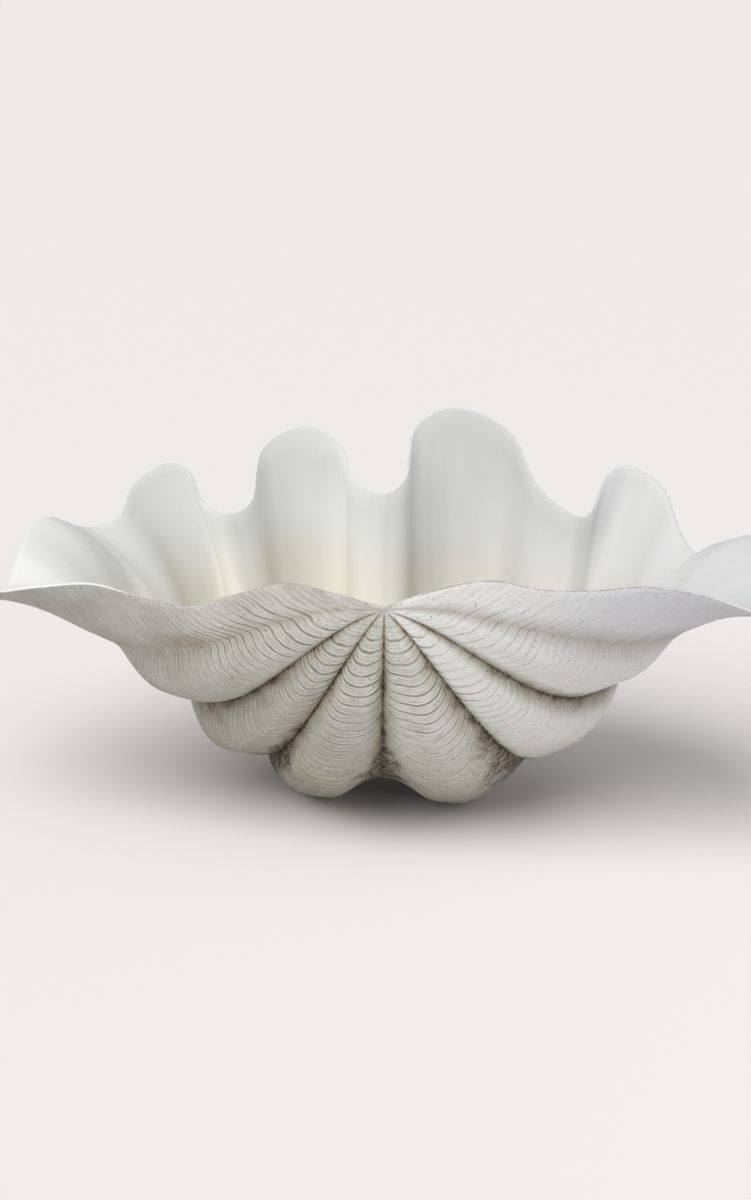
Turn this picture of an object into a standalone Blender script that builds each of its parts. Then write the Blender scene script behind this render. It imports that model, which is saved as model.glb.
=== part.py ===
"""One valve of a giant clam shell, lying on its back with the hollow side up.

The valve is modelled the way that it grows. Its margin is a wavy line round the hollow side.
Each older growth line is a smaller copy of the margin, turned down about the hinge, and all of
them meet at the umbo, the beak at the middle of the front. Six ribs and two side flares fan out
from the umbo, run down and under the bowl, and rise again to end in the lobes of the margin.

The frame is in metres, +Z up, with the umbo's side to -Y. The origin is on the ground under the
middle of the valve's box. Lengths below are in millimetres and are measured from the umbo.
"""

import math

import bmesh
import bpy
import numpy as np
from mathutils import Matrix

MM = 0.001

NODE = "clam_shell"

# Folds are numbered from left to right by a fold coordinate. A groove lies at each whole number
# from 1 to 7, a rib's crest halfway between two grooves, and the front edges at 0.5 and 7.5.
LEFT_EDGE = 0.5
RIGHT_EDGE = 7.5
MIDDLE_GROOVE = 4.0

# The margin from the left tip to the right tip, six points to a fold: the left tip, six lobes with
# grooves between them, and the right tip.
MARGIN = np.array([
    (-316.0, 55.0, -1.0), (-317.0, 80.0, -5.0), (-318.0, 108.0, -7.0),
    (-317.0, 138.0, -6.0), (-312.0, 160.0, 7.0), (-307.0, 190.0, 20.0),
    (-295.0, 215.0, 26.0), (-282.0, 235.0, 18.0), (-272.0, 250.0, 8.0),
    (-259.0, 262.0, 4.0), (-238.0, 280.0, 11.0), (-227.0, 315.0, 34.0),
    (-198.0, 335.0, 49.0), (-175.0, 336.0, 40.0), (-164.0, 326.0, 15.0),
    (-144.0, 320.0, 5.0), (-122.0, 333.0, 14.0), (-113.0, 370.0, 55.0),
    (-74.0, 385.0, 73.0), (-38.0, 380.0, 55.0), (-28.0, 355.0, 31.0),
    (-2.0, 345.0, 18.0), (20.0, 352.0, 32.0), (29.0, 378.0, 74.0),
    (68.0, 387.0, 89.0), (118.0, 377.0, 68.0), (141.0, 343.0, 27.0),
    (172.0, 321.0, 4.0), (189.0, 322.0, 5.0), (204.0, 332.0, 38.0),
    (225.0, 335.0, 45.0), (253.0, 315.0, 30.0), (266.0, 280.0, -1.0),
    (279.0, 255.0, -19.0), (294.0, 248.0, -9.0), (309.0, 235.0, 1.0),
    (322.0, 215.0, 9.0), (335.0, 195.0, 6.0), (342.0, 170.0, -2.0),
    (345.0, 145.0, -11.0), (345.0, 115.0, -16.0), (342.0, 82.0, -22.0),
    (339.0, 50.0, -28.0),
])
POINTS_PER_FOLD = 6
LOBES = MARGIN[::POINTS_PER_FOLD]

# Where each groove ends at the margin, with one guide point past each tip.
LEFT_GUIDE = (-312.0, 60.0, -1.0)
RIGHT_GUIDE = (334.0, 60.0, -14.0)
DIPS = np.vstack([LEFT_GUIDE, MARGIN[POINTS_PER_FOLD // 2::POINTS_PER_FOLD], RIGHT_GUIDE])

# How far each fold stands out of the grooves, at the size of the margin, and over how much growth
# that grows from the little that is left at the margin.
FOLD_RELIEF = np.array([10.0, 58.0, 76.0, 48.0, 72.0, 62.0, 48.0, 10.0])
FOLD_REACH = np.array([0.9, 0.5, 0.45, 0.4, 0.4, 0.45, 0.5, 0.9])
RELIEF_AT_MARGIN = 0.06

# Ribs meet in sharp grooves for most of their length, and in round ones beside the wings. They
# soften into waves over the last growth.
RIB_ROUNDNESS = np.array([2.4, 1.0, 0.7, 0.7, 0.7, 0.7, 1.0, 2.4])
SOFTENING_GROWTH = 0.4
WAVE_STEEPNESS = 1.7
WAVE_CREST_BIAS = 0.25

# How far each crest leans to the left, in folds: on the ribs below, and on the lobes at the margin.
RIB_LEAN = np.array([0.0, 0.05, 0.05, 0.1, -0.18, -0.12, -0.05, 0.0])
LOBE_LEAN = np.array([0.0, 0.0, -0.06, 0.01, 0.05, 0.0, 0.0, 0.0])

# The middle groove opens to a round valley under the bowl.
MIDDLE_OPENING = 0.4
OPENING_GROWTHS = (0.2, 0.5)

# How far the first growth of each fold is turned down from its margin, and how soon it turns.
FOLD_TURN = np.radians([88.0, 98.0, 98.0, 116.0, 116.0, 98.0, 92.0, 90.0])
FOLD_CURL = np.array([1.15, 1.15, 0.83, 0.74, 0.74, 0.83, 1.3, 1.3])

# Growth along the hinge runs ahead of growth away from it, most of all at the sides.
MIDDLE_SPREAD = 0.8
SIDE_SPREAD_LOSS = 0.024

# How far each fold stays back sideways, as a share of its reach: on the belly below, and at the
# waist before its last growth flares out.
BELLY = np.array([-0.02, 0.03, 0.02, -0.12, -0.12, -0.02, 0.02, 0.0])
WAIST = np.array([-0.05, 0.1, 0.12, 0.08, 0.0, 0.04, 0.08, 0.0])
WAIST_GROWTH = 0.8
WAIST_POWER = 5.0

# Heights of the two front edges at even steps from the umbo to the tip.
LEFT_EDGE_HEIGHTS = np.array([0.0, 11.0, 19.0, 10.0, -1.0, 4.0, 13.0, 8.0, -1.0])
RIGHT_EDGE_HEIGHTS = np.array([0.0, 14.0, 21.0, 13.0, 11.0, 13.0, 6.0, -11.0, -28.0])
EDGE_SET_BACK = 1.5
EDGE_SPREAD = 0.42
EDGE_REACH = 0.9

# How far each wing sags outwards between its front edge and the first rib.
LEFT_WING_SAG = 14.0
RIGHT_WING_SAG = 6.0
WING_WIDTH = 0.8
WING_GROWTH_POWER = 3.0

# The wall: thin at the margin and thicker in the body, with its folds softer inside than outside.
MARGIN_WALL = 4.0
BODY_WALL = 10.0
BODY_WALL_GROWTH = 0.5
BODY_WALL_FOLDS = 0.5
INNER_FOLD_SHARE = 0.75
INNER_FULL_GROWTH = 0.6
INNER_SMOOTH_GROWTH = 0.45
INNER_BLUR = 4
INNER_PLAIN_SHARE = 0.5
INNER_BEAK = np.array([0.0, 8.0, -1.0])
BEAK_GROWTH = 0.12
EDGE_ROUNDING = 0.35

# Growth rests: low ledges where growth stopped for a while, closer together near the umbo.
REST_COUNT = 12
REST_HEIGHT = 1.6
REST_DROP = 0.22
REST_FADE_FOLDS = 0.3
REST_FADE_POWER = 0.5
RING_CROWDING = 1.4

# The valve leans a little to the left, so that it stands on its two middle ribs, each worn flat.
STANDING_LEAN = math.radians(2.9)
WORN_DEPTH = 3.0

SLOPE_STEP = 0.001
COLUMNS_PER_FOLD = 14
FOLD_COUNT = 7
SMOOTH_ANGLE = math.radians(50.0)


def ramp(value, low, high):
    """0 below low, 1 above high, and a smooth rise between."""
    share = np.clip((value - low) / (high - low), 0.0, 1.0)
    return share * share * (3.0 - 2.0 * share)


def through(points, place):
    """A smooth curve through evenly spaced points, read at places counted in points."""
    points = points.reshape(len(points), -1)
    padded = np.vstack([2 * points[0] - points[1], points, 2 * points[-1] - points[-2]])
    start = np.clip(np.floor(place).astype(int), 0, len(points) - 2)
    u = (place - start)[..., None]
    a, b, c, d = (padded[start + k] for k in range(4))
    return 0.5 * (2 * b + (c - a) * u + (2 * a - 5 * b + 4 * c - d) * u**2 + (3 * b - a - 3 * c + d) * u**3)


def across_folds(values, fold):
    """A value that changes smoothly across the valve, given at the crest of each fold."""
    return through(values, fold - LEFT_EDGE)[..., 0]


def leaned(fold, lean):
    """The fold coordinate with its crests moved to the left and its grooves kept."""
    return fold + across_folds(lean, fold) * (1.0 - np.cos(2.0 * math.pi * fold)) / 2.0


def soft_folds(fold):
    """Rounded folds: 0 at grooves and 1 at crests, with crests wider than grooves."""
    wave = np.cos(2.0 * math.pi * leaned(fold, LOBE_LEAN)) - WAVE_CREST_BIAS
    top = math.tanh(WAVE_STEEPNESS * (1.0 + WAVE_CREST_BIAS))
    bottom = math.tanh(WAVE_STEEPNESS * (1.0 - WAVE_CREST_BIAS))
    return (bottom - np.tanh(WAVE_STEEPNESS * wave)) / (top + bottom)


def sharp_folds(fold):
    """Round ribs with narrow grooves between: 0 at grooves and 1 at crests."""
    return np.abs(np.sin(math.pi * leaned(fold, RIB_LEAN))) ** across_folds(RIB_ROUNDNESS, fold)


def opened(ribs, fold, growth):
    """Rib heights with the middle groove opened in later growth."""
    valley = 1.0 - ramp(np.abs(fold - MIDDLE_GROOVE), 0.0, MIDDLE_OPENING)
    return ribs * (1.0 - valley * ramp(growth, *OPENING_GROWTHS))


def held_back(fold, growth):
    """How far a growth line stays back sideways, as a share of its reach."""
    before = (growth / WAIST_GROWTH) ** WAIST_POWER
    after = (1.0 - growth) / (1.0 - WAIST_GROWTH)
    belly = across_folds(BELLY, fold) * np.sin(math.pi * growth) ** 2
    return belly + across_folds(WAIST, fold) * before * after


def grown(point, fold, growth):
    """A margin point carried back to an earlier growth: made smaller and turned about the hinge."""
    curl = across_folds(FOLD_CURL, fold)
    turn = across_folds(FOLD_TURN, fold) * (1.0 - growth) ** curl
    spread = growth ** (MIDDLE_SPREAD - SIDE_SPREAD_LOSS * (fold - MIDDLE_GROOVE) ** 2)
    spread = spread - held_back(fold, growth)
    cos, sin = np.cos(turn), np.sin(turn)
    x, y, z = point[..., 0], point[..., 1], point[..., 2]
    return np.stack([x * spread, (y * cos + z * sin) * growth, (z * cos - y * sin) * growth], axis=-1)


def wavy_margin(fold):
    """The margin as it ends now, with its lobes."""
    return through(MARGIN, (fold - LEFT_EDGE) * POINTS_PER_FOLD)


def ribbed_margin(fold, height):
    """The margin of older growth, from groove level at height 0 to crest level at height 1."""
    crest = through(LOBES, fold - LEFT_EDGE)
    dip = through(DIPS, fold)
    return dip + (crest - dip) * height[..., None]


def out_direction(fold, growth):
    """The outward normal of the bowl without its folds."""
    growth = np.clip(growth, SLOPE_STEP, 1.0 - SLOPE_STEP)
    half_height = np.full_like(fold, 0.5)

    def plain(f, g):
        return grown(ribbed_margin(f, half_height), f, g)

    along = plain(fold + SLOPE_STEP, growth) - plain(fold - SLOPE_STEP, growth)
    up = plain(fold, growth + SLOPE_STEP) - plain(fold, growth - SLOPE_STEP)
    normal = np.cross(up, along)
    return normal / np.linalg.norm(normal, axis=-1, keepdims=True)


def front_edge(side, growth):
    """The left or right front edge, from the umbo to the tip."""
    tip, heights = (LOBES[0], LEFT_EDGE_HEIGHTS) if side < 0 else (LOBES[-1], RIGHT_EDGE_HEIGHTS)
    share = growth**EDGE_SPREAD
    height = through(heights, share * (len(heights) - 1))[..., 0]
    return np.stack([tip[0] * share, tip[1] * share**EDGE_SET_BACK, height], axis=-1)


def folded_bowl(fold, growth, ribs, relief_share):
    """Points of the bowl with its folds, before any wall thickness."""
    ribbed = ramp(1.0 - growth, 0.0, SOFTENING_GROWTH)
    height = ribbed * ribs + (1.0 - ribbed) * soft_folds(fold)
    older = ribbed_margin(fold, ribs) * ribbed[..., None]
    points = grown(older + wavy_margin(fold) * (1.0 - ribbed[..., None]), fold, growth)
    reach = across_folds(FOLD_REACH, fold)
    strength = RELIEF_AT_MARGIN + (1.0 - RELIEF_AT_MARGIN) * ramp((1.0 - growth) / reach, 0.0, 1.0)
    relief = across_folds(FOLD_RELIEF, fold) * relief_share * strength * growth
    points = points + out_direction(fold, growth) * (relief * height)[..., None]
    for side, edge, sag in ((-1, LEFT_EDGE, LEFT_WING_SAG), (1, RIGHT_EDGE, RIGHT_WING_SAG)):
        across_wing = np.clip(np.abs(fold - edge) / WING_WIDTH, 0.0, 1.0)
        wing = sag * np.sin(math.pi * across_wing) ** 2 * growth**WING_GROWTH_POWER
        points = points + out_direction(fold, growth) * wing[..., None]
        at_edge = np.full_like(fold, edge)
        edge_height = np.ones_like(fold)
        pull = front_edge(side, growth) - grown(ribbed_margin(at_edge, edge_height), at_edge, growth)
        near = np.clip(1.0 - np.abs(fold - edge) / EDGE_REACH, 0.0, 1.0) ** 2
        points = points + pull * near[..., None]
    return points


def outer_points(fold, growth):
    """The outside: ribs are sharp near the umbo and soften to waves at the margin."""
    return folded_bowl(fold, growth, opened(sharp_folds(fold), fold, growth), 1.0)


def grid_normals(points):
    """Outward normals of a grid of points, from its own neighbours."""
    along = np.gradient(points, axis=0)
    down = np.gradient(points, axis=1)
    normal = np.cross(along, down)
    length = np.linalg.norm(normal, axis=-1, keepdims=True)
    return normal / np.maximum(length, 1e-9)


def blurred(grid):
    """A grid's values averaged with their neighbours along the first axis."""
    for _ in range(INNER_BLUR):
        grid = np.concatenate([grid[:1], (grid[:-2] + 2.0 * grid[1:-1] + grid[2:]) / 4.0, grid[-1:]])
    return grid


def inner_points(fold, growth):
    """The inside: soft folds that fade towards the umbo, set in by the wall's thickness."""
    ribs = opened(np.sin(math.pi * fold) ** 2, fold, growth) * ramp(growth, 0.0, INNER_SMOOTH_GROWTH)
    share = INNER_FOLD_SHARE + (1.0 - INNER_FOLD_SHARE) * ramp(growth, INNER_FULL_GROWTH, 1.0)
    points = folded_bowl(fold, growth, ribs, share)
    from_edge = np.minimum(fold - LEFT_EDGE, RIGHT_EDGE - fold)
    body = ramp(1.0 - growth, 0.0, BODY_WALL_GROWTH) * ramp(from_edge, 0.0, BODY_WALL_FOLDS)
    wall = MARGIN_WALL + (BODY_WALL - MARGIN_WALL) * body
    outward = blurred(grid_normals(points)) + INNER_PLAIN_SHARE * out_direction(fold, growth)
    outward = outward / np.linalg.norm(outward, axis=-1, keepdims=True)
    at_beak = 1.0 - ramp(growth, 0.0, BEAK_GROWTH)
    inward = INNER_BEAK * at_beak[..., None] - outward * (wall * (1.0 - at_beak))[..., None]
    return points + inward


def growth_rings():
    """Growth values of the rings from the margin to the umbo, and each ring's ledge height."""
    steps, ledges = [1.0], [0.0]
    for index in range(REST_COUNT):
        older = 1.0 - (index + 1) / REST_COUNT
        steps += [older + REST_DROP / REST_COUNT, older]
        ledges += [0.0, REST_HEIGHT]
    growths = np.array(steps) ** RING_CROWDING
    return growths, np.array(ledges) * growths**REST_FADE_POWER


def shell_rings():
    """Outer and inner grids of points, as [column, ring], with ring 0 at the margin."""
    columns = np.linspace(LEFT_EDGE, RIGHT_EDGE, COLUMNS_PER_FOLD * FOLD_COUNT + 1)
    growths, ledges = growth_rings()
    fold, growth = np.meshgrid(columns, growths, indexing="ij")
    from_edge = np.minimum(fold - LEFT_EDGE, RIGHT_EDGE - fold)
    ledge = ledges * ramp(from_edge, 0.0, REST_FADE_FOLDS)
    outer = outer_points(fold, growth) + out_direction(fold, growth) * ledge[..., None]
    return outer, inner_points(fold, growth)


def add_sheet(mesh, grid, outward):
    """One side of the wall, from the margin to the umbo, where its columns meet in one point."""
    places = [[mesh.verts.new(place) for place in column[:-1]] for column in grid]
    beak = mesh.verts.new(grid[0, -1])
    for left, right in zip(places, places[1:]):
        for upper in range(len(left) - 1):
            quad = [left[upper], left[upper + 1], right[upper + 1], right[upper]]
            mesh.faces.new(quad if outward else quad[::-1])
        tip = [left[-1], beak, right[-1]]
        mesh.faces.new(tip if outward else tip[::-1])
    return places[0] + [beak] + places[-1][::-1] + [column[0] for column in places[-2:0:-1]]


def round_edge(mesh, outer_loop, inner_loop):
    """The wall's edge: two strips that meet in a line a little proud of both sheets."""
    pairs = list(zip(outer_loop, inner_loop))
    middle = []
    for index, (outer, inner) in enumerate(pairs):
        ahead = outer_loop[(index + 1) % len(outer_loop)].co - outer_loop[index - 1].co
        across = inner.co - outer.co
        proud = ahead.cross(across).normalized() * across.length * EDGE_ROUNDING
        middle.append(mesh.verts.new((outer.co + inner.co) / 2 + proud))
    count = len(pairs)
    for index in range(count):
        after = (index + 1) % count
        mesh.faces.new([outer_loop[after], outer_loop[index], middle[index], middle[after]])
        mesh.faces.new([middle[after], middle[index], inner_loop[index], inner_loop[after]])


def wear_flat(mesh):
    """Cuts the lowest parts of the ribs off level, and closes the cuts."""
    lowest = min(vert.co.z for vert in mesh.verts)
    ground = lowest + WORN_DEPTH * MM
    geometry = list(mesh.verts) + list(mesh.edges) + list(mesh.faces)
    cut = bmesh.ops.bisect_plane(
        mesh, geom=geometry, plane_co=(0.0, 0.0, ground), plane_no=(0.0, 0.0, -1.0), clear_outer=True
    )
    rim = [item for item in cut["geom_cut"] if isinstance(item, bmesh.types.BMEdge)]
    bmesh.ops.holes_fill(mesh, edges=rim)
    return ground


def shell_material():
    """Chalky off-white shell."""
    material = bpy.data.materials.new("shell_chalk")
    material.use_nodes = True
    surface = material.node_tree.nodes["Principled BSDF"]
    surface.inputs["Base Color"].default_value = (0.66, 0.64, 0.59, 1.0)
    surface.inputs["Roughness"].default_value = 0.7
    surface.inputs["Metallic"].default_value = 0.0
    return material


def build_shell():
    outer, inner = (grid * MM for grid in shell_rings())
    mesh = bmesh.new()
    outer_loop = add_sheet(mesh, outer, True)
    inner_loop = add_sheet(mesh, inner, False)
    round_edge(mesh, outer_loop, inner_loop)
    bmesh.ops.recalc_face_normals(mesh, faces=mesh.faces)
    stand = Matrix.Rotation(-STANDING_LEAN, 3, "Y")
    bmesh.ops.rotate(mesh, verts=mesh.verts, cent=(0.0, 0.0, 0.0), matrix=stand)
    ground = wear_flat(mesh)
    bmesh.ops.triangulate(mesh, faces=mesh.faces)
    places = np.array([vert.co for vert in mesh.verts])
    centre = (places.min(axis=0) + places.max(axis=0)) / 2
    bmesh.ops.translate(mesh, verts=mesh.verts, vec=(-centre[0], -centre[1], -ground))
    data = bpy.data.meshes.new(NODE)
    mesh.to_mesh(data)
    mesh.free()
    data.shade_smooth()
    data.set_sharp_from_angle(angle=SMOOTH_ANGLE)
    shell = bpy.data.objects.new(NODE, data)
    shell.data.materials.append(shell_material())
    bpy.context.scene.collection.objects.link(shell)
    return shell


for leftover in list(bpy.data.objects):
    bpy.data.objects.remove(leftover)
build_shell()
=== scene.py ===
# The dressed giant clam shell: one valve with its growth lines, grooves darkened with stain and painted
# shade, and satin inside.
# Metres, +Z up, in the frame of the imported solid. The valve's own sizes are in millimetres from the
# umbo, the beak where all growth lines meet.

import math

import bpy
import numpy as np
from mathutils import Euler, Matrix, Vector


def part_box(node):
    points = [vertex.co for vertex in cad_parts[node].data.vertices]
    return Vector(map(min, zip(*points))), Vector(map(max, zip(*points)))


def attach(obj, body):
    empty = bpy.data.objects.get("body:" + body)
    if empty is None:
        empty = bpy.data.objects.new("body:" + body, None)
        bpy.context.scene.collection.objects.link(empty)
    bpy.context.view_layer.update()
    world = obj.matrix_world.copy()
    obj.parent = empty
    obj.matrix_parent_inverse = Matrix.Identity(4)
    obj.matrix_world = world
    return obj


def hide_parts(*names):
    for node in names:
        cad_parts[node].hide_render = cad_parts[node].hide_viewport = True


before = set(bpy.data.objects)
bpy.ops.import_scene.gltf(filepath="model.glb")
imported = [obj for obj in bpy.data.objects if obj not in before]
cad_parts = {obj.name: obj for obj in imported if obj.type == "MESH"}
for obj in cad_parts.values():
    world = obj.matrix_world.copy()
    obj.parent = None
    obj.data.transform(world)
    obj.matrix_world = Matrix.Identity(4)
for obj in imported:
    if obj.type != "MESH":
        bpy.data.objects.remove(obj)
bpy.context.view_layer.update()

MM = 0.001
NODE = "clam_shell"

# Folds are numbered from left to right: grooves at whole numbers, crests halfway between them.
LEFT_EDGE = 0.5
RIGHT_EDGE = 7.5
MIDDLE_GROOVE = 4.0
FOLD_COUNT = 7

# The margin from the left tip to the right tip, six points to a fold: the left tip, six lobes with
# grooves between them, and the right tip.
MARGIN = np.array([
    (-316.0, 55.0, -1.0), (-317.0, 80.0, -5.0), (-318.0, 108.0, -7.0),
    (-317.0, 138.0, -6.0), (-312.0, 160.0, 7.0), (-307.0, 190.0, 20.0),
    (-295.0, 215.0, 26.0), (-282.0, 235.0, 18.0), (-272.0, 250.0, 8.0),
    (-259.0, 262.0, 4.0), (-238.0, 280.0, 11.0), (-227.0, 315.0, 34.0),
    (-198.0, 335.0, 49.0), (-175.0, 336.0, 40.0), (-164.0, 326.0, 15.0),
    (-144.0, 320.0, 5.0), (-122.0, 333.0, 14.0), (-113.0, 370.0, 55.0),
    (-74.0, 385.0, 73.0), (-38.0, 380.0, 55.0), (-28.0, 355.0, 31.0),
    (-2.0, 345.0, 18.0), (20.0, 352.0, 32.0), (29.0, 378.0, 74.0),
    (68.0, 387.0, 89.0), (118.0, 377.0, 68.0), (141.0, 343.0, 27.0),
    (172.0, 321.0, 4.0), (189.0, 322.0, 5.0), (204.0, 332.0, 38.0),
    (225.0, 335.0, 45.0), (253.0, 315.0, 30.0), (266.0, 280.0, -1.0),
    (279.0, 255.0, -19.0), (294.0, 248.0, -9.0), (309.0, 235.0, 1.0),
    (322.0, 215.0, 9.0), (335.0, 195.0, 6.0), (342.0, 170.0, -2.0),
    (345.0, 145.0, -11.0), (345.0, 115.0, -16.0), (342.0, 82.0, -22.0),
    (339.0, 50.0, -28.0),
])
POINTS_PER_FOLD = 6
LOBES = MARGIN[::POINTS_PER_FOLD]

# Where each groove ends at the margin, with one guide point past each tip.
LEFT_GUIDE = (-312.0, 60.0, -1.0)
RIGHT_GUIDE = (334.0, 60.0, -14.0)
DIPS = np.vstack([LEFT_GUIDE, MARGIN[POINTS_PER_FOLD // 2::POINTS_PER_FOLD], RIGHT_GUIDE])

# How far each fold stands out of the grooves, at the size of the margin, and over how much growth
# that grows from the little that is left at the margin.
FOLD_RELIEF = np.array([10.0, 58.0, 76.0, 48.0, 72.0, 62.0, 48.0, 10.0])
FOLD_REACH = np.array([0.9, 0.5, 0.45, 0.4, 0.4, 0.45, 0.5, 0.9])
RELIEF_AT_MARGIN = 0.06

# Ribs meet in sharp grooves for most of their length, and in round ones beside the wings. They
# soften into waves over the last growth.
RIB_ROUNDNESS = np.array([2.4, 1.0, 0.7, 0.7, 0.7, 0.7, 1.0, 2.4])
SOFTENING_GROWTH = 0.4
WAVE_STEEPNESS = 1.7
WAVE_CREST_BIAS = 0.25

# How far each crest leans to the left, in folds: on the ribs below, and on the lobes at the margin.
RIB_LEAN = np.array([0.0, 0.05, 0.05, 0.1, -0.18, -0.12, -0.05, 0.0])
LOBE_LEAN = np.array([0.0, 0.0, -0.06, 0.01, 0.05, 0.0, 0.0, 0.0])

# The middle groove opens to a round valley under the bowl.
MIDDLE_OPENING = 0.4
OPENING_GROWTHS = (0.2, 0.5)

# How far the first growth of each fold is turned down from its margin, and how soon it turns.
FOLD_TURN = np.radians([88.0, 98.0, 98.0, 116.0, 116.0, 98.0, 92.0, 90.0])
FOLD_CURL = np.array([1.15, 1.15, 0.83, 0.74, 0.74, 0.83, 1.3, 1.3])

# Growth along the hinge runs ahead of growth away from it, most of all at the sides.
MIDDLE_SPREAD = 0.8
SIDE_SPREAD_LOSS = 0.024

# How far each fold stays back sideways, as a share of its reach: on the belly below, and at the
# waist before its last growth flares out.
BELLY = np.array([-0.02, 0.03, 0.02, -0.12, -0.12, -0.02, 0.02, 0.0])
WAIST = np.array([-0.05, 0.1, 0.12, 0.08, 0.0, 0.04, 0.08, 0.0])
WAIST_GROWTH = 0.8
WAIST_POWER = 5.0

# Heights of the two front edges at even steps from the umbo to the tip.
LEFT_EDGE_HEIGHTS = np.array([0.0, 11.0, 19.0, 10.0, -1.0, 4.0, 13.0, 8.0, -1.0])
RIGHT_EDGE_HEIGHTS = np.array([0.0, 14.0, 21.0, 13.0, 11.0, 13.0, 6.0, -11.0, -28.0])
EDGE_SET_BACK = 1.5
EDGE_SPREAD = 0.42
EDGE_REACH = 0.9

# How far each wing sags outwards between its front edge and the first rib.
LEFT_WING_SAG = 14.0
RIGHT_WING_SAG = 6.0
WING_WIDTH = 0.8
WING_GROWTH_POWER = 3.0

# The wall, from the thin margin to the thicker body.
MARGIN_WALL = 4.0
BODY_WALL = 10.0
BODY_WALL_GROWTH = 0.5
BODY_WALL_FOLDS = 0.5
INNER_FOLD_SHARE = 0.75
INNER_FULL_GROWTH = 0.6
INNER_SMOOTH_GROWTH = 0.45
INNER_BLUR_FOLDS = 0.12
INNER_PLAIN_SHARE = 0.5
INNER_BEAK = np.array([0.0, 8.0, -1.0])
BEAK_GROWTH = 0.12
EDGE_ROUNDING = 0.35
EDGE_ROWS = 5
EDGE_OUTSIDE_ROWS = 3
INNER_ROW_STEP = 3
SLOPE_STEP = 0.001
MERGE_DISTANCE = 0.000002

# Growth lines: shallow scales, each with a free edge that ends in a scored line.
LINE_COUNT = 62
LINE_CROWDING = 0.8
SCALE_PROFILE = np.array([-1.0, -0.1, 0.0, 0.15, 0.35])
ROWS_PER_LINE = len(SCALE_PROFILE)
LINE_DEPTH = 1.3
BEAK_ROWS = 8
BEAK_ROW_CROWDING = 2.4
COLUMNS_PER_FOLD = 28

# They sweep back in the grooves, wander, keep to the margin at their end, and start past the beak.
LINE_SWEEP = 0.12
LINE_SWEEP_SHARPNESS = 2.0
LINE_WANDER = 0.14
FINE_WANDER_SHARE = 0.35
MARGIN_HOLD_POWER = 4
BEAK_LINES = 3.0
FRONT_EDGE_FOLDS = 0.4

# They are stronger in some places than in others, and fainter on the right.
LINE_STRENGTH = 0.9
LINE_PATCHINESS = 0.4
LINE_STRENGTH_LIMITS = (0.1, 1.3)
FAINT_FROM_FOLD = 4.2
FAINT_TO_FOLD = 6.2
FAINT_SHARE = 0.3

# Seeds of the random values, and how many of them there are over the folds and over the rows.
WANDER = (3, 22, 24)
FINE_WANDER = (4, 60, 70)
PATCHINESS = (5, 28, 34)

# How dark each groove is made, with stain and with painted shade, from the left wing to the right one.
GROOVE_STAIN_AND_SHADE = np.array([0.5, 1.0, 1.0, 1.0, 1.0, 1.0, 0.45])
STAIN_AND_SHADE_SHARPNESS = 0.7

# One patch of stain on the left: its place in folds and growth lines, and its reach in growth lines.
# A fold is about as wide as 25 growth lines.
PATCH_FOLD = 0.98
PATCH_LINE = 15.0
PATCH_REACH = 6.0
LINES_PER_FOLD = 25.0

# What the outside's material needs to know at each point: the fold and growth line it is on, how much
# stain and painted shade its groove holds, and how strongly its line is scored.
NOTES = ("fold", "line", "groove", "score")

# Patterns of the lime: size in millimetres, and how many times finer ones are added to it. The pits
# and the chalky grain of a real valve are about half this size, too fine to show in the picture.
CLOUDS = (45.0, 3.0)
LINE_BREAKS = (22.0, 2.0)
BLOTCHES = (14.0, 4.0)
MOTTLING = (5.0, 3.0)
PITS = (2.4, 1.0)
CHALK_GRAIN = (1.6, 3.0)
INSIDE_CLOUDS = (71.4, 3.0)

# Threads of growth run along the folds, several to a growth line, with finer lines between.
THREADS_PER_FOLD = 5.0
THREADS_PER_LINE = 4.0
FINE_PER_LINE = 3.0
STREAKS_PER_FOLD = 9.0

# The valve leans on its two middle ribs, which are worn flat.
STANDING_LEAN = math.radians(2.9)
WORN_DEPTH = 3.0

# The camera, as seen from the umbo before the valve leans.
UMBO = Vector((-12.8, -187.5, 203.5)) * MM
CAMERA_PLACE = Vector((-6.0, -2123.0, 577.1)) * MM
CAMERA_DOWN = math.radians(15.0)
CAMERA_LENS = 82.5
SENSOR = 36.0

# The studio: a pale floor and sky, a wide light from the upper left and a weak one low on the right.
FLOOR_SIZE = 80.0
SKY_STRENGTH = 0.48
TOP_LIGHT_FROM = (-0.42, -0.42, 0.8)
TOP_LIGHT_STRENGTH = 2.3
TOP_LIGHT_SOFTNESS = 65.0
FILL_PLACE = (1.5, -1.2, 0.2)
FILL_TARGET = (0.05, -0.1, 0.1)
FILL_WIDTH = 0.8
FILL_POWER = 7.0

# Kinds of node and settings that the materials use often.
MATH = "ShaderNodeMath"
RANGE = "ShaderNodeMapRange"
NOISE = "ShaderNodeTexNoise"
MIX = "ShaderNodeMix"
ATTRIBUTE = "ShaderNodeAttribute"
PLUS = {"operation": "ADD"}
TIMES = {"operation": "MULTIPLY"}
TIMES_PLUS = {"operation": "MULTIPLY_ADD"}
THERE_AND_BACK = {"operation": "PINGPONG"}
SOFT = {"interpolation_type": "SMOOTHSTEP"}
OVER = {"data_type": "RGBA"}
DARKENED = {"data_type": "RGBA", "blend_type": "MULTIPLY"}


def ramp(value, low, high):
    """0 below low, 1 above high, and a smooth rise between."""
    share = np.clip((value - low) / (high - low), 0.0, 1.0)
    return share * share * (3.0 - 2.0 * share)


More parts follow.
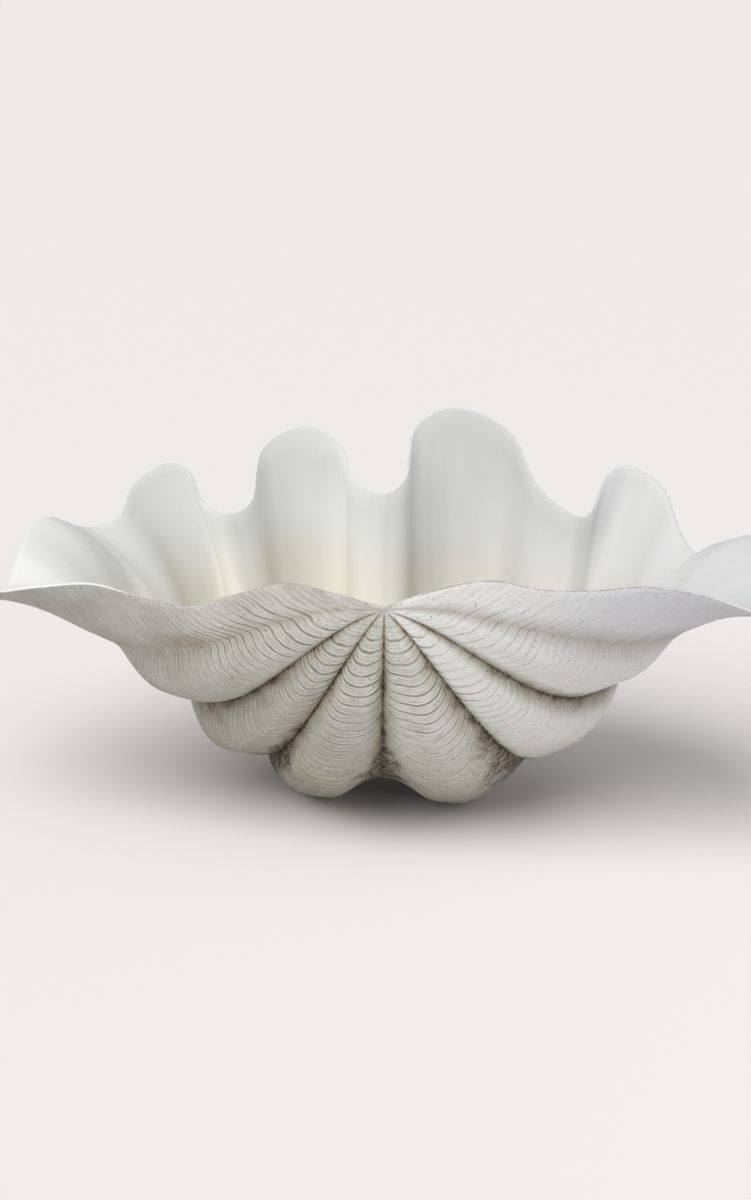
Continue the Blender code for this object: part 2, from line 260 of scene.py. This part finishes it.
def through(points, place):
    """A smooth curve through evenly spaced points, read at places counted in points."""
    points = points.reshape(len(points), -1)
    padded = np.vstack([2 * points[0] - points[1], points, 2 * points[-1] - points[-2]])
    start = np.clip(np.floor(place).astype(int), 0, len(points) - 2)
    u = (place - start)[..., None]
    a, b, c, d = (padded[start + k] for k in range(4))
    bent = (2 * a - 5 * b + 4 * c - d) * u**2 + (3 * b - a - 3 * c + d) * u**3
    return 0.5 * (2 * b + (c - a) * u + bent)


def across_folds(values, fold):
    """A value that changes smoothly across the valve, given at the crest of each fold."""
    return through(values, fold - LEFT_EDGE)[..., 0]


def leaned(fold, lean):
    """The fold coordinate with its crests moved to the left and its grooves kept."""
    return fold + across_folds(lean, fold) * (1.0 - np.cos(2.0 * math.pi * fold)) / 2.0


def soft_folds(fold):
    """Rounded folds: 0 at grooves and 1 at crests, with crests wider than grooves."""
    wave = np.cos(2.0 * math.pi * leaned(fold, LOBE_LEAN)) - WAVE_CREST_BIAS
    top = math.tanh(WAVE_STEEPNESS * (1.0 + WAVE_CREST_BIAS))
    bottom = math.tanh(WAVE_STEEPNESS * (1.0 - WAVE_CREST_BIAS))
    return (bottom - np.tanh(WAVE_STEEPNESS * wave)) / (top + bottom)


def sharp_folds(fold):
    """Round ribs with narrow grooves between: 0 at grooves and 1 at crests."""
    return np.abs(np.sin(math.pi * leaned(fold, RIB_LEAN))) ** across_folds(RIB_ROUNDNESS, fold)


def opened(ribs, fold, growth):
    """Rib heights with the middle groove opened in later growth."""
    valley = 1.0 - ramp(np.abs(fold - MIDDLE_GROOVE), 0.0, MIDDLE_OPENING)
    return ribs * (1.0 - valley * ramp(growth, *OPENING_GROWTHS))


def held_back(fold, growth):
    """How far a growth line stays back sideways, as a share of its reach."""
    before = (growth / WAIST_GROWTH) ** WAIST_POWER
    after = (1.0 - growth) / (1.0 - WAIST_GROWTH)
    belly = across_folds(BELLY, fold) * np.sin(math.pi * growth) ** 2
    return belly + across_folds(WAIST, fold) * before * after


def grown(point, fold, growth):
    """A margin point carried back to an earlier growth: made smaller and turned about the hinge."""
    curl = across_folds(FOLD_CURL, fold)
    turn = across_folds(FOLD_TURN, fold) * (1.0 - growth) ** curl
    spread = growth ** (MIDDLE_SPREAD - SIDE_SPREAD_LOSS * (fold - MIDDLE_GROOVE) ** 2)
    spread = spread - held_back(fold, growth)
    cos, sin = np.cos(turn), np.sin(turn)
    x, y, z = point[..., 0], point[..., 1], point[..., 2]
    return np.stack([x * spread, (y * cos + z * sin) * growth, (z * cos - y * sin) * growth], axis=-1)


def wavy_margin(fold):
    """The margin as it ends now, with its lobes."""
    return through(MARGIN, (fold - LEFT_EDGE) * POINTS_PER_FOLD)


def ribbed_margin(fold, height):
    """The margin of older growth, from groove level at height 0 to crest level at height 1."""
    crest = through(LOBES, fold - LEFT_EDGE)
    dip = through(DIPS, fold)
    return dip + (crest - dip) * height[..., None]


def unit(vectors):
    """Vectors made one long."""
    return vectors / np.maximum(np.linalg.norm(vectors, axis=-1, keepdims=True), 1e-9)


def out_direction(fold, growth):
    """The outward normal of the bowl without its folds."""
    growth = np.clip(growth, SLOPE_STEP, 1.0 - SLOPE_STEP)
    half_height = np.full_like(fold, 0.5)

    def plain(f, g):
        return grown(ribbed_margin(f, half_height), f, g)

    along = plain(fold + SLOPE_STEP, growth) - plain(fold - SLOPE_STEP, growth)
    up = plain(fold, growth + SLOPE_STEP) - plain(fold, growth - SLOPE_STEP)
    return unit(np.cross(up, along))


def front_edge(side, growth):
    """The left or right front edge, from the umbo to the tip."""
    tip, heights = (LOBES[0], LEFT_EDGE_HEIGHTS) if side < 0 else (LOBES[-1], RIGHT_EDGE_HEIGHTS)
    share = growth**EDGE_SPREAD
    height = through(heights, share * (len(heights) - 1))[..., 0]
    return np.stack([tip[0] * share, tip[1] * share**EDGE_SET_BACK, height], axis=-1)


def folded_bowl(fold, growth, ribs, relief_share):
    """Points of the bowl with its folds, before any wall thickness."""
    ribbed = ramp(1.0 - growth, 0.0, SOFTENING_GROWTH)
    height = ribbed * ribs + (1.0 - ribbed) * soft_folds(fold)
    older = ribbed_margin(fold, ribs) * ribbed[..., None]
    points = grown(older + wavy_margin(fold) * (1.0 - ribbed[..., None]), fold, growth)
    reach = across_folds(FOLD_REACH, fold)
    strength = RELIEF_AT_MARGIN + (1.0 - RELIEF_AT_MARGIN) * ramp((1.0 - growth) / reach, 0.0, 1.0)
    relief = across_folds(FOLD_RELIEF, fold) * relief_share * strength * growth
    points = points + out_direction(fold, growth) * (relief * height)[..., None]
    for side, edge, sag in ((-1, LEFT_EDGE, LEFT_WING_SAG), (1, RIGHT_EDGE, RIGHT_WING_SAG)):
        across_wing = np.clip(np.abs(fold - edge) / WING_WIDTH, 0.0, 1.0)
        wing = sag * np.sin(math.pi * across_wing) ** 2 * growth**WING_GROWTH_POWER
        points = points + out_direction(fold, growth) * wing[..., None]
        at_edge = np.full_like(fold, edge)
        edge_height = np.ones_like(fold)
        pull = front_edge(side, growth) - grown(ribbed_margin(at_edge, edge_height), at_edge, growth)
        near = np.clip(1.0 - np.abs(fold - edge) / EDGE_REACH, 0.0, 1.0) ** 2
        points = points + pull * near[..., None]
    return points


def outer_points(fold, growth):
    """The outside: ribs are sharp near the umbo and soften to waves at the margin."""
    return folded_bowl(fold, growth, opened(sharp_folds(fold), fold, growth), 1.0)


def grid_normals(points):
    """Outward normals of a grid of points, from its own neighbours."""
    return unit(np.cross(np.gradient(points, axis=0), np.gradient(points, axis=1)))


def blurred(grid):
    """A grid's values averaged with their neighbours across the folds."""
    passes = round((INNER_BLUR_FOLDS * COLUMNS_PER_FOLD) ** 2 * 2)
    for _ in range(passes):
        grid = np.concatenate([grid[:1], (grid[:-2] + 2.0 * grid[1:-1] + grid[2:]) / 4.0, grid[-1:]])
    return grid


def inner_points(fold, growth):
    """The inside: soft folds that fade towards the umbo, set in by the wall's thickness."""
    ribs = opened(np.sin(math.pi * fold) ** 2, fold, growth) * ramp(growth, 0.0, INNER_SMOOTH_GROWTH)
    share = INNER_FOLD_SHARE + (1.0 - INNER_FOLD_SHARE) * ramp(growth, INNER_FULL_GROWTH, 1.0)
    points = folded_bowl(fold, growth, ribs, share)
    from_edge = np.minimum(fold - LEFT_EDGE, RIGHT_EDGE - fold)
    body = ramp(1.0 - growth, 0.0, BODY_WALL_GROWTH) * ramp(from_edge, 0.0, BODY_WALL_FOLDS)
    wall = MARGIN_WALL + (BODY_WALL - MARGIN_WALL) * body
    outward = unit(blurred(grid_normals(points)) + INNER_PLAIN_SHARE * out_direction(fold, growth))
    at_beak = 1.0 - ramp(growth, 0.0, BEAK_GROWTH)
    return points + INNER_BEAK * at_beak[..., None] - outward * (wall * (1.0 - at_beak))[..., None]


def uneven(columns, rows, seed, fold_knots, row_knots):
    """Smooth random values over the grid, the same at each run."""
    knots = np.random.default_rng(seed).uniform(-1.0, 1.0, (fold_knots, row_knots))
    by_fold = through(knots, np.linspace(0.0, fold_knots - 1.0, columns))
    return through(by_fold.T, np.linspace(0.0, row_knots - 1.0, rows)).T


def line_rows():
    """The growth line count of each row, from the margin to the umbo, and its place in its scale."""
    row_count = (LINE_COUNT - 1) * ROWS_PER_LINE + 1
    counts = [LINE_COUNT - index / ROWS_PER_LINE for index in range(row_count)]
    places = [(-index) % ROWS_PER_LINE for index in range(row_count)]
    for index in range(BEAK_ROWS - 1, -1, -1):
        counts.append((index / BEAK_ROWS) ** BEAK_ROW_CROWDING)
        places.append(ROWS_PER_LINE // 2)
    return np.array(counts), SCALE_PROFILE[places]


def outer_grid():
    """The outside with its growth lines, and what its material needs to know at each point."""
    columns = np.linspace(LEFT_EDGE, RIGHT_EDGE, COLUMNS_PER_FOLD * FOLD_COUNT + 1)
    counts, profile = line_rows()
    fold, line = np.meshgrid(columns, counts, indexing="ij")
    size = fold.shape
    from_edge = np.minimum(fold - LEFT_EDGE, RIGHT_EDGE - fold)
    free = ramp(from_edge, 0.0, FRONT_EDGE_FOLDS)
    groove = (1.0 - sharp_folds(fold)) * free
    stain_and_shade = (1.0 - np.abs(np.sin(math.pi * fold)) ** STAIN_AND_SHADE_SHARPNESS) * free
    stain_and_shade = stain_and_shade * through(GROOVE_STAIN_AND_SHADE, fold - 1.0)[..., 0]
    wander = uneven(*size, *WANDER) + FINE_WANDER_SHARE * uneven(*size, *FINE_WANDER)
    away_from_margin = 1.0 - (line / LINE_COUNT) ** MARGIN_HOLD_POWER
    past_beak = ramp(line, 0.0, BEAK_LINES)
    moved = line + wander * LINE_WANDER * free * away_from_margin * past_beak
    growth = np.clip(moved / LINE_COUNT, 0.0, 1.0) ** LINE_CROWDING
    growth = growth * (1.0 - LINE_SWEEP * groove**LINE_SWEEP_SHARPNESS * away_from_margin)
    faint = 1.0 - (1.0 - FAINT_SHARE) * ramp(fold, FAINT_FROM_FOLD, FAINT_TO_FOLD)
    strength = LINE_STRENGTH + LINE_PATCHINESS * uneven(*size, *PATCHINESS)
    strength = np.clip(strength, *LINE_STRENGTH_LIMITS) * faint * free * past_beak
    relief = profile[None, :] * strength * LINE_DEPTH
    points = outer_points(fold, growth)
    points = points + grid_normals(points) * relief[..., None]
    plain_growth = (counts / LINE_COUNT) ** LINE_CROWDING
    return points, dict(zip(NOTES, (fold, line, stain_and_shade, strength))), columns, plain_growth


def loop_of(grid):
    """A grid's open edge in order: left column to the umbo, right column back, then the margin."""
    return np.concatenate([grid[0], grid[-1, -2::-1], grid[-2:0:-1, 0]])


def closed(loop):
    """A loop with its start repeated at its end."""
    return np.concatenate([loop, loop[:1]])


def edge_strip(outer, inner, kept_rows):
    """The rounded edge between both sheets, as a grid that runs round the valve."""
    start, end = loop_of(outer), loop_of(inner)
    ahead = np.roll(start, -1, axis=0) - np.roll(start, 1, axis=0)
    across = end - start
    width = np.linalg.norm(across, axis=-1, keepdims=True)
    proud = unit(np.cross(ahead, across)) * width * EDGE_ROUNDING
    rows = []
    for turn in np.linspace(0.0, math.pi, EDGE_ROWS + 1):
        rows.append(start + across * (1.0 - math.cos(turn)) / 2.0 + proud * math.sin(turn))
    rows[-1] = loop_of(inner[:, kept_rows])
    return closed(np.stack(rows, axis=1))


def sheet(name, points, notes, material):
    """A grid primitive drawn out to the given points, with its notes kept as attributes."""
    across, down = points.shape[:2]
    bpy.ops.object.select_all(action="DESELECT")
    bpy.ops.mesh.primitive_grid_add(x_subdivisions=across - 1, y_subdivisions=down - 1, size=1.0)
    made = bpy.context.object
    made.name = name
    mesh = made.data
    mesh.uv_layers.remove(mesh.uv_layers[0])
    mesh.vertices.foreach_set("co", points.transpose(1, 0, 2).astype(np.float32).ravel())
    for note in NOTES:
        values = notes.get(note, np.zeros((across, down))).T.astype(np.float32)
        mesh.attributes.new(note, "FLOAT", "POINT").data.foreach_set("value", values.ravel())
    mesh.materials.append(material)
    mesh.update()
    return made


def placed(grids):
    """The grids leaned on the middle ribs, worn flat and fitted into the solid's box."""
    lean = np.array(Matrix.Rotation(-STANDING_LEAN, 3, "Y"))
    turned = [grid @ lean.T for grid in grids]
    every = np.concatenate([grid.reshape(-1, 3) for grid in turned])
    low, high = every.min(axis=0), every.max(axis=0)
    low[2] += WORN_DEPTH
    box_low, box_high = (np.array(corner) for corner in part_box(NODE))
    scale = (box_high - box_low) / (high - low)
    worn_to = np.array([-np.inf, -np.inf, low[2]])
    return [(np.maximum(grid, worn_to) - low) * scale + box_low for grid in turned]


def shell_valve(outside, inside):
    """The valve: its outer sheet, its inner sheet and the rounded edge, merged into one skin."""
    outer, notes, columns, growths = outer_grid()
    fold, growth = np.meshgrid(columns, growths, indexing="ij")
    inner = inner_points(fold, growth)
    rows = sorted(set(range(0, len(growths), INNER_ROW_STEP)) | {len(growths) - 1})
    kept_rows = [rows[np.searchsorted(rows, row)] for row in range(len(growths))]
    strip = edge_strip(outer, inner, kept_rows)
    inner, fold = inner[:, rows], fold[:, rows]
    outer, inner, strip = placed([outer, inner, strip])
    edge_notes = {
        note: np.repeat(closed(loop_of(values))[:, None], EDGE_OUTSIDE_ROWS, axis=1)
        for note, values in notes.items()
    }
    parts = [
        sheet("shell_valve", outer, notes, outside),
        sheet("shell_inside", inner, {"fold": fold}, inside),
        sheet("shell_edge_outside", strip[:, :EDGE_OUTSIDE_ROWS], edge_notes, outside),
        sheet("shell_edge_inside", strip[:, EDGE_OUTSIDE_ROWS - 1:], {}, inside),
    ]
    bpy.ops.object.select_all(action="DESELECT")
    for part in parts:
        part.select_set(True)
    bpy.context.view_layer.objects.active = parts[0]
    bpy.ops.object.join()
    valve = bpy.context.object
    bpy.ops.object.mode_set(mode="EDIT")
    bpy.ops.mesh.select_all(action="SELECT")
    bpy.ops.mesh.remove_doubles(threshold=MERGE_DISTANCE)
    bpy.ops.mesh.normals_make_consistent(inside=False)
    bpy.ops.object.mode_set(mode="OBJECT")
    bpy.ops.object.shade_smooth()
    return valve


def linear(hex_colour):
    """An sRGB hex colour as linear values with alpha."""
    parts = [int(hex_colour[place:place + 2], 16) / 255.0 for place in (0, 2, 4)]
    return tuple(p / 12.92 if p <= 0.04045 else ((p + 0.055) / 1.055) ** 2.4 for p in parts) + (1.0,)


def add_node(tree, kind, settings, inputs):
    """Adds a node with its settings, and with its inputs set to values or linked to outputs."""
    made = tree.nodes.new(kind)
    for name, value in settings.items():
        setattr(made, name, value)
    for name, value in inputs.items():
        if isinstance(value, bpy.types.NodeSocket):
            tree.links.new(value, made.inputs[name])
        else:
            made.inputs[name].default_value = value
    return made.outputs


def empty_material(name):
    """A new material with only its principled shader and output, and its node tree."""
    material = bpy.data.materials.new(name)
    material.use_nodes = True
    return material, material.node_tree, material.node_tree.nodes["Principled BSDF"]


def weathered_shell():
    """Giant clam shell, outside: chalky lime that weathering left dull, with stain rubbed into its
    grooves and scored lines and painted shade laid over it, painted highlights beside the lines, and
    painted light and shade across its sides. The eye sees matt greys, brown folds and thin dark lines
    that break."""
    material, tree, surface = empty_material("weathered_clam_shell")

    def add(kind, settings, inputs):
        return add_node(tree, kind, settings, inputs)

    def layer(under, colour, strength, *places):
        """One colour laid over what is under it, at this strength where all the places meet."""
        share = strength
        for where in places:
            share = add(MATH, TIMES, {0: where, 1: share})[0]
        return add(MIX, OVER, {0: share, 6: under, 7: linear(colour)})[2]

    place = add("ShaderNodeTexCoord", {}, {})["Object"]
    apart = add("ShaderNodeSeparateXYZ", {}, {0: place})
    height = apart["Z"]
    fold, line, groove, score = [add(ATTRIBUTE, {"attribute_name": note}, {})["Fac"] for note in NOTES]
    clouds, breaks, blotches, mottling, specks, chalk = [
        add(NOISE, {}, {"Vector": place, "Scale": 1.0 / (size * MM), "Detail": detail})[0]
        for size, detail in (CLOUDS, LINE_BREAKS, BLOTCHES, MOTTLING, PITS, CHALK_GRAIN)
    ]

    # Threads of growth.
    along = add(MATH, TIMES, {0: fold, 1: THREADS_PER_FOLD})[0]
    beside = add(MATH, TIMES, {0: line, 1: THREADS_PER_LINE})[0]
    thread_at = add("ShaderNodeCombineXYZ", {}, {0: along, 1: beside, 2: 0.0})[0]
    flat = {"noise_dimensions": "2D"}
    threads = add(NOISE, flat, {"Vector": thread_at, "Scale": 1.0, "Detail": 3.0})[0]

    # Scored lines, which stray a little, break off in places and are crisp on the left only.
    strayed = add(MATH, TIMES_PLUS, {0: threads, 1: 0.16, 2: line})[0]
    from_line = add(MATH, THERE_AND_BACK, {0: strayed, 1: 0.5})[0]
    on_line = add(RANGE, SOFT, {"Value": from_line, "From Min": 0.15, "From Max": 0.02})[0]
    past_line = add(RANGE, SOFT, {"Value": from_line, "From Min": 0.12, "From Max": 0.2})[0]
    short_of_next = add(RANGE, SOFT, {"Value": from_line, "From Min": 0.36, "From Max": 0.24})[0]
    unbroken = add(RANGE, SOFT, {"Value": breaks, "From Min": 0.35, "From Max": 0.55, "To Min": 0.4})[0]
    drawn = add(MATH, TIMES, {0: unbroken, 1: score})[0]
    scored = add(MATH, TIMES, {0: on_line, 1: drawn})[0]
    crisp = add(RANGE, SOFT, {"Value": fold, "From Min": 5.4, "From Max": 4.3, "To Min": 0.28})[0]

    # Finer lines between them.
    counted = add(MATH, TIMES, {0: strayed, 1: FINE_PER_LINE})[0]
    from_fine = add(MATH, THERE_AND_BACK, {0: counted, 1: 0.5})[0]
    fine = add(RANGE, SOFT, {"Value": from_fine, "From Min": 0.25, "From Max": 0.0})[0]

    # The ground: aged grey; lighter on the right, partly paler lime and partly painted light where more
    # light falls; a painted cool light on the far right wing; painted shade low on the left; and
    # painted shade in the wide hollows on the right.
    cloudy = add(RANGE, SOFT, {"Value": clouds, "From Min": 0.35, "From Max": 0.65})[0]
    on_right = add(RANGE, SOFT, {"Value": fold, "From Min": 4.3, "From Max": 5.6})[0]
    on_wing = add(RANGE, SOFT, {"Value": fold, "From Min": 6.3, "From Max": 7.1})[0]
    far_right = add(RANGE, SOFT, {"Value": apart["X"], "From Min": 0.0, "From Max": 0.26})[0]
    on_left = add(RANGE, SOFT, {"Value": fold, "From Min": 4.2, "From Max": 3.6})[0]
    lower = add(RANGE, SOFT, {"Value": height, "From Min": 0.19, "From Max": 0.08})[0]
    from_groove = add(MATH, THERE_AND_BACK, {0: fold, 1: 0.5})[0]
    in_hollow = add(RANGE, SOFT, {"Value": from_groove, "From Min": 0.26, "From Max": 0.0})[0]
    on_last_ribs = add(RANGE, SOFT, {"Value": fold, "From Min": 5.4, "From Max": 5.9})[0]
    colour = layer(linear("C4C4BF"), "B5B4AD", 1.0, cloudy)
    # Lighter on the right: partly paler lime, partly painted light from the right.
    colour = layer(colour, "D9D9D6", 0.9, on_right)
    # Painted cool light on the far right wing: the tint of the bluish fill from the right.
    colour = layer(colour, "C3C3C9", 0.85, on_wing, far_right)
    # Painted shade low on the left, where the faces turn down and away from the light.
    colour = layer(colour, "8F8B84", 0.35, on_left, lower)
    # Painted shade in the wide hollows between the last ribs.
    colour = layer(colour, "A3A098", 0.55, in_hollow, on_last_ribs)

    # Grey in the threads and fine lines, and a darker brown low down.
    thready = add(RANGE, SOFT, {"Value": threads, "From Min": 0.46, "From Max": 0.7})[0]
    cloudy_height = add(MATH, TIMES_PLUS, {0: clouds, 1: 0.06, 2: height})[0]
    low_down = add(RANGE, SOFT, {"Value": cloudy_height, "From Min": 0.125, "From Max": 0.045})[0]
    colour = layer(colour, "959084", 0.45, crisp, thready)
    colour = layer(colour, "7F7A6F", 0.22, crisp, fine)
    # Darker and browner towards the bottom.
    colour = layer(colour, "8F8369", 0.45, low_down)

    # One patch of stain, and stain with painted shade in the grooves.
    stray = add(MATH, TIMES_PLUS, {0: blotches, 1: 0.5, 2: -0.25})[0]
    across = add(MATH, TIMES, {0: fold, 1: LINES_PER_FOLD})[0]
    here = add("ShaderNodeCombineXYZ", {}, {0: across, 1: line, 2: 0.0})[0]
    patch_at = (PATCH_FOLD * LINES_PER_FOLD, PATCH_LINE, 0.0)
    from_patch = add("ShaderNodeVectorMath", {"operation": "DISTANCE"}, {0: here, 1: patch_at})["Value"]
    from_patch = add(MATH, TIMES_PLUS, {0: stray, 1: 8.0, 2: from_patch})[0]
    in_patch = add(RANGE, SOFT, {"Value": from_patch, "From Min": PATCH_REACH, "From Max": 1.0})[0]
    near_groove = add(MATH, PLUS, {0: groove, 1: stray})[0]
    in_groove = add(RANGE, SOFT, {"Value": near_groove, "From Min": 0.16, "From Max": 0.88})[0]
    colour = layer(colour, "A08E76", 0.6, in_patch)
    # Brown in the grooves: partly stain, partly painted shade in the hollows beside each crease.
    colour = layer(colour, "87775C", 0.8, in_groove)

    # The scored lines, dark in their recess with stain and painted shade, each with a painted highlight
    # beside it where the face of its scale catches the light.
    # Painted highlight on the lit face beside each scored line.
    colour = layer(colour, "E6E2D4", 0.4, past_line, short_of_next, drawn)
    # Dark scored line: partly stain, partly painted shade in its recess.
    colour = layer(colour, "625A4E", 0.72, scored)

    # Dark creases, partly stain and partly painted shade, and mottled dirt with painted shade where the
    # grooves near the ground.
    deep = add(MATH, TIMES_PLUS, {0: stray, 1: 0.45, 2: groove})[0]
    in_crease = add(RANGE, SOFT, {"Value": deep, "From Min": 0.8, "From Max": 1.0})[0]
    near_ground = add(RANGE, SOFT, {"Value": height, "From Min": 0.11, "From Max": 0.03})[0]
    dirt_and_shade = add(MATH, TIMES_PLUS, {0: stray, 1: 0.7, 2: near_groove})[0]
    dirt_and_shade = add(MATH, TIMES_PLUS, {0: near_ground, 1: 0.45, 2: dirt_and_shade})[0]
    at_foot = add(RANGE, SOFT, {"Value": dirt_and_shade, "From Min": 0.6, "From Max": 1.05})[0]
    mottled = add(RANGE, SOFT, {"Value": mottling, "From Min": 0.42, "From Max": 0.58,
                                "To Min": 0.45, "To Max": 0.95})[0]
    # Darker crease bottoms: partly stain, partly painted shade.
    colour = layer(colour, "695C49", 0.45, in_crease)
    # Dark foot of the grooves near the ground: mottled dirt and painted shade.
    colour = layer(colour, "3A3022", 1.0, at_foot, mottled)

    # Small pits, more of them low down and beside the grooves.
    beside_groove = add(RANGE, SOFT, {"Value": near_groove, "From Min": 0.3, "From Max": 0.8})[0]
    pitted = add(MATH, TIMES_PLUS, {0: low_down, 1: -0.09, 2: 0.73})[0]
    pitted = add(MATH, TIMES_PLUS, {0: beside_groove, 1: -0.08, 2: pitted})[0]
    pits = add(MATH, {"operation": "GREATER_THAN"}, {0: specks, 1: pitted})[0]
    colour = layer(colour, "5F564A", 0.55, pits)

    relief = add(MATH, TIMES, {0: threads, 1: 0.6})[0]
    for pattern, rise in ((chalk, 0.25), (scored, -0.8), (fine, -0.3), (pits, -0.5)):
        relief = add(MATH, TIMES_PLUS, {0: pattern, 1: rise, 2: relief})[0]
    bump = add("ShaderNodeBump", {}, {"Strength": 0.7, "Distance": 0.0012, "Height": relief})[0]
    tree.links.new(colour, surface.inputs["Base Color"])
    tree.links.new(bump, surface.inputs["Normal"])
    surface.inputs["Roughness"].default_value = 0.8
    return material


def satin_shell():
    """Giant clam shell, inside: smooth lime laid down in thin coats. The eye sees a satin white with
    faint streaks along the folds, cream low down, and painted shade that makes it a little darker on
    the right."""
    material, tree, surface = empty_material("satin_clam_shell")

    def add(kind, settings, inputs):
        return add_node(tree, kind, settings, inputs)

    place = add("ShaderNodeTexCoord", {}, {})["Object"]
    apart = add("ShaderNodeSeparateXYZ", {}, {0: place})
    fold = add(ATTRIBUTE, {"attribute_name": "fold"}, {})["Fac"]
    size, detail = INSIDE_CLOUDS
    clouds = add(NOISE, {}, {"Vector": place, "Scale": 1.0 / (size * MM), "Detail": detail})[0]
    in_a_row = {"noise_dimensions": "1D"}
    streaks = add(NOISE, in_a_row, {"W": fold, "Scale": STREAKS_PER_FOLD, "Detail": 2.0})[0]
    cloudy_height = add(MATH, TIMES_PLUS, {0: clouds, 1: -0.06, 2: apart["Z"]})[0]
    low = add(RANGE, SOFT, {"Value": cloudy_height, "From Min": 0.17, "From Max": 0.09})[0]
    on_right = add(RANGE, SOFT, {"Value": apart["X"], "From Min": -0.06, "From Max": 0.1})[0]
    colour = add(MIX, OVER, {0: low, 6: linear("E8E9E9"), 7: linear("E1DFD1")})[2]
    colour = add(MIX, DARKENED, {0: streaks, 6: colour, 7: linear("F4F4F2")})[2]
    # Painted shade on the right of the inside, where less light falls.
    colour = add(MIX, DARKENED, {0: on_right, 6: colour, 7: linear("ECECEE")})[2]
    tree.links.new(colour, surface.inputs["Base Color"])
    surface.inputs["Roughness"].default_value = 0.45
    return material


def floor_material():
    """Matt painted studio floor, rolled, without a pattern that the eye can find."""
    material, _, surface = empty_material("studio_floor_paint")
    surface.inputs["Base Color"].default_value = linear("ECEAE8")
    surface.inputs["Roughness"].default_value = 1.0
    surface.inputs["Specular IOR Level"].default_value = 0.0
    return material


def studio_floor():
    """A plain floor that reaches past everything the camera sees."""
    bpy.ops.object.select_all(action="DESELECT")
    bpy.ops.mesh.primitive_plane_add(size=FLOOR_SIZE)
    floor = bpy.context.object
    floor.name = "studio_floor"
    floor.data.materials.append(floor_material())


def sun_from(name, direction, strength, softness, colour):
    """A wide soft light that comes from the given direction."""
    bpy.ops.object.light_add(type="SUN", location=Vector(direction) * 3.0)
    lamp = bpy.context.object
    lamp.name = name
    lamp.rotation_euler = Vector(direction).to_track_quat("Z", "Y").to_euler()
    lamp.data.energy = strength
    lamp.data.angle = math.radians(softness)
    lamp.data.color = linear(colour)[:3]


def lamp_at(name, place, target, width, power, colour):
    """A soft light, half as high as wide, that faces a target."""
    bpy.ops.object.light_add(type="AREA", location=place)
    lamp = bpy.context.object
    lamp.name = name
    lamp.rotation_euler = (Vector(place) - Vector(target)).to_track_quat("Z", "Y").to_euler()
    lamp.data.shape = "RECTANGLE"
    lamp.data.size = width
    lamp.data.size_y = width / 2.0
    lamp.data.energy = power
    lamp.data.color = linear(colour)[:3]


def studio_light():
    """An even pale sky, the top light and the low fill."""
    world = bpy.data.worlds.new("studio")
    bpy.context.scene.world = world
    world.use_nodes = True
    sky = world.node_tree.nodes["Background"]
    sky.inputs["Color"].default_value = linear("F2F3F6")
    sky.inputs["Strength"].default_value = SKY_STRENGTH
    sun_from("top_light", TOP_LIGHT_FROM, TOP_LIGHT_STRENGTH, TOP_LIGHT_SOFTNESS, "FFFDFA")
    lamp_at("low_right_fill", FILL_PLACE, FILL_TARGET, FILL_WIDTH, FILL_POWER, "F8F8FF")


def photo_camera():
    """The camera at the photograph's viewing angle, leaned with the valve."""
    lean = Matrix.Rotation(-STANDING_LEAN, 3, "Y")
    bpy.ops.object.camera_add(location=UMBO + lean @ CAMERA_PLACE)
    camera = bpy.context.object
    look = Euler((math.pi / 2 - CAMERA_DOWN, 0.0, 0.0)).to_matrix()
    camera.rotation_euler = (lean @ look).to_euler()
    camera.data.sensor_width = SENSOR
    camera.data.lens = CAMERA_LENS
    camera.data.clip_end = FLOOR_SIZE
    bpy.context.scene.camera = camera


photo_camera()
studio_light()
studio_floor()
valve = shell_valve(weathered_shell(), satin_shell())
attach(valve, "root")
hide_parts(NODE)
bpy.context.scene.view_settings.view_transform = "Standard"
